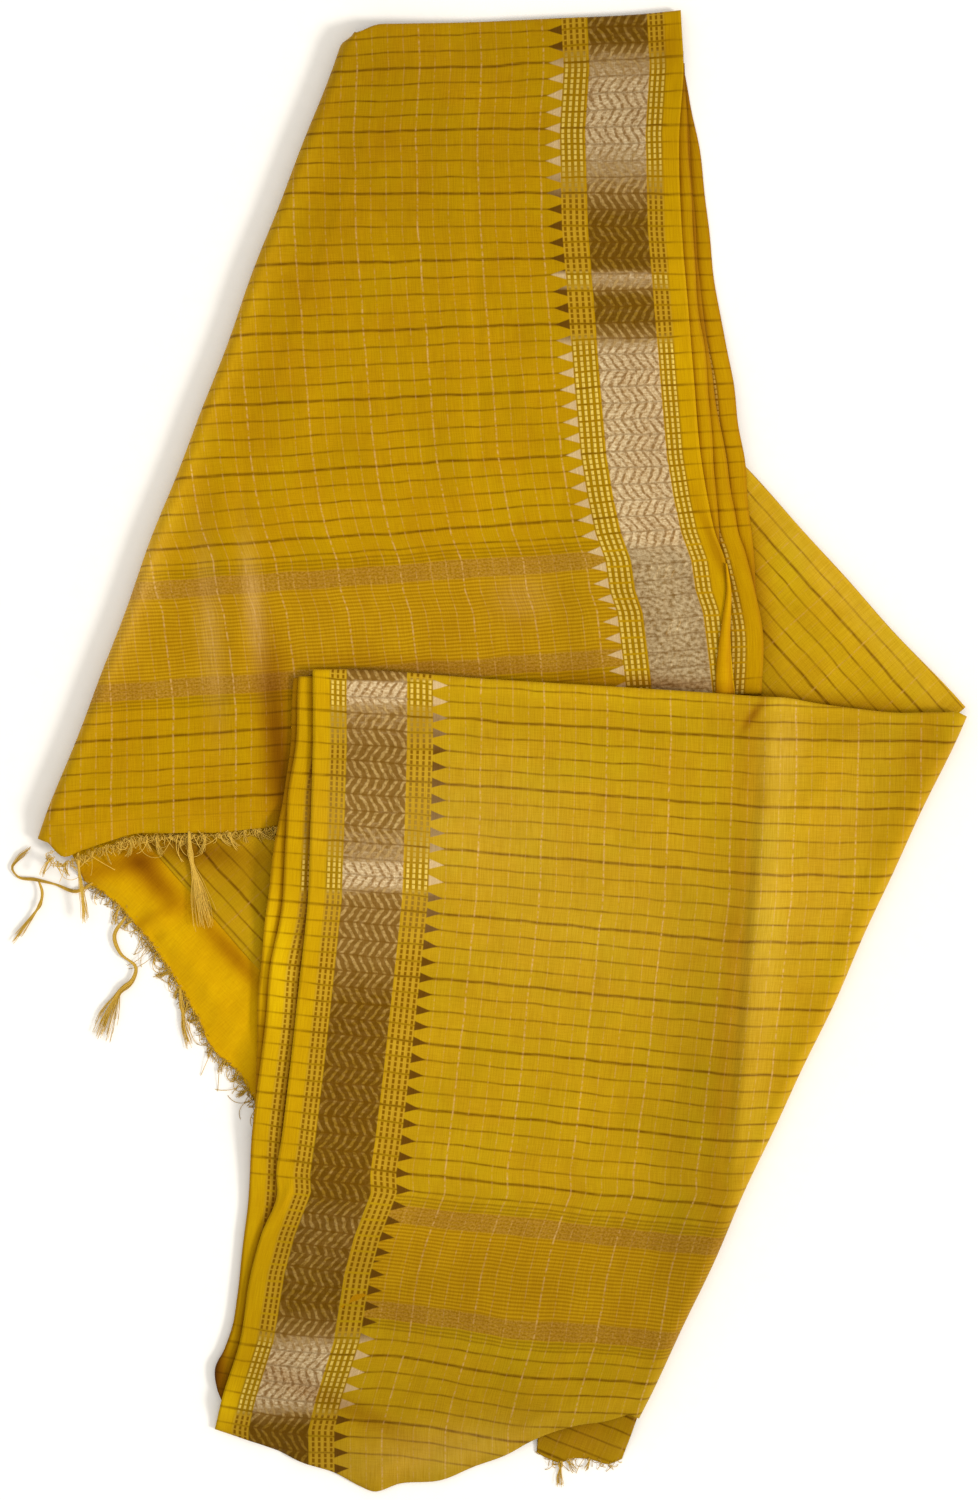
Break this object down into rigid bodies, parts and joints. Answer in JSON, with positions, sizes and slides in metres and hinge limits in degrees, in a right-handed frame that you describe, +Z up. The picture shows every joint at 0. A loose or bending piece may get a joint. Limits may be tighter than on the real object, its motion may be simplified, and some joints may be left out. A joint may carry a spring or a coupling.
{
  "type": "saree",
  "caption": "Woven saree with checks, zari borders and fringed ends, cross-folded and then folded on the slant into a flat zigzag.",
  "frame": {"origin": "point on the flat underside near the middle of the zigzag", "axes": "+X along the weft of the upper stretch, +Y from the lower stretch to the upper one, +Z up from the surface that it lies on"},
  "size_m": [0.5599, 0.8852, 0.0203],
  "materials": {
    "checked_cloth": "mustard cotton-silk weave with brown and pale checks and a metallic border",
    "plain_cloth": "plain mustard cotton-silk weave",
    "tassel_thread": "twisted yarn"
  },
  "bodies": {
    "root": {"upper_panel": "checked_cloth", "lower_panel": "checked_cloth", "upper_ply_2": "checked_cloth", "upper_ply_3": "checked_cloth", "upper_ply_4": "checked_cloth", "lower_ply_2": "checked_cloth", "lower_ply_3": "checked_cloth", "middle_upper": "checked_cloth", "middle_lower": "checked_cloth", "plain_end": "plain_cloth", "middle_tail": "plain_cloth", "selvedge_turn": "plain_cloth", "hidden_layers": "plain_cloth", "upper_fringe": "tassel_thread", "plain_end_fringe": "tassel_thread", "tail_fringe": "tassel_thread"}
  },
  "joints": []
}
